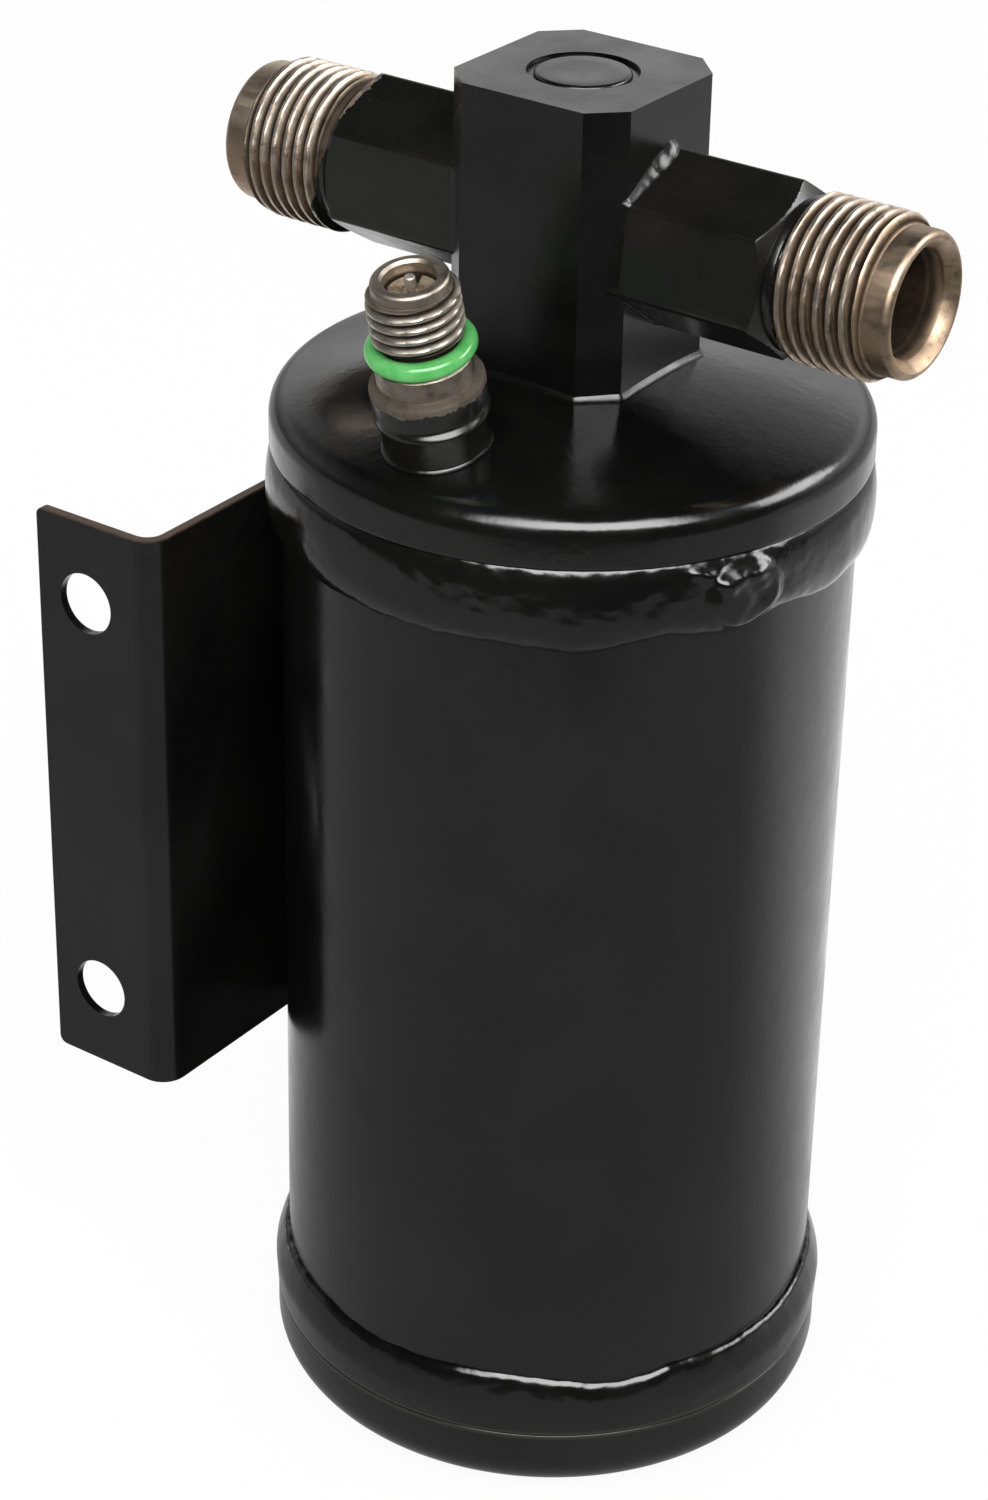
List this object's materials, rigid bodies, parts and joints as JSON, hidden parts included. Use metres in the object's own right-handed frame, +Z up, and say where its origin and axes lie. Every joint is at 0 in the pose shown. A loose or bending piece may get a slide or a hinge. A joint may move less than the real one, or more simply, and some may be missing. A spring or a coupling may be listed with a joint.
{
  "type": "receiver drier",
  "caption": "Welded steel receiver drier: domed can with a desiccant bed and pickup tube inside, header block with threaded inlet and outlet, spring valve port and side bracket.",
  "frame": {"origin": "centre of the can's flat base", "axes": "+Z up along the can's axis, +X towards the inlet fitting, -Y towards the pressure port and the bracket's outer face"},
  "size_m": [0.091, 0.0671, 0.1627],
  "materials": {
    "black_enamel": "semi-gloss black enamel over welded steel",
    "plated_steel": "bronze-toned plated steel, bare on the threads and noses and overpainted black on the hexagons",
    "green_rubber": "satin green O-ring rubber",
    "black_rubber": "matte seal rubber",
    "core_brass": "turned brass",
    "bright_steel": "bright zinc-plated steel",
    "filter_felt": "off-white polyester felt",
    "desiccant_beads": "packed tan molecular-sieve beads"
  },
  "bodies": {
    "receiver": {"shell_tube": "black_enamel", "top_head": "black_enamel", "bottom_head": "black_enamel", "top_weld_bead": "black_enamel", "bottom_weld_bead": "black_enamel", "header_block": "black_enamel", "passage_plug": "black_enamel", "block_base_weld": "black_enamel", "inlet_fitting": "plated_steel", "outlet_fitting": "plated_steel", "inlet_fitting_weld": "black_enamel", "outlet_fitting_weld": "black_enamel", "pressure_port": "plated_steel", "port_braze_ring": "black_enamel", "port_oring": "green_rubber", "valve_core_body": "core_brass", "valve_core_gasket": "black_rubber", "valve_spring": "bright_steel", "mounting_bracket": "black_enamel", "bracket_lower_weld": "black_enamel", "bracket_upper_weld": "black_enamel", "pickup_tube": "bright_steel", "pickup_strainer": "core_brass", "support_deck": "bright_steel", "lower_filter_pad": "filter_felt", "desiccant_bed": "desiccant_beads", "upper_filter_pad": "filter_felt", "upper_plate": "bright_steel", "bed_spring": "bright_steel"},
    "pin": {"valve_pin": "bright_steel", "valve_pin_seal": "black_rubber"}
  },
  "joints": [
    {"name": "valve_pin_press", "type": "slide", "parent": "receiver", "child": "pin", "axis": [0.0064, 0.2433, -0.9699], "range_m": [0, 0.0012], "stiffness_N_per_m": 2000, "springref_m": -0.001, "deforming": ["valve_spring"]}
  ]
}
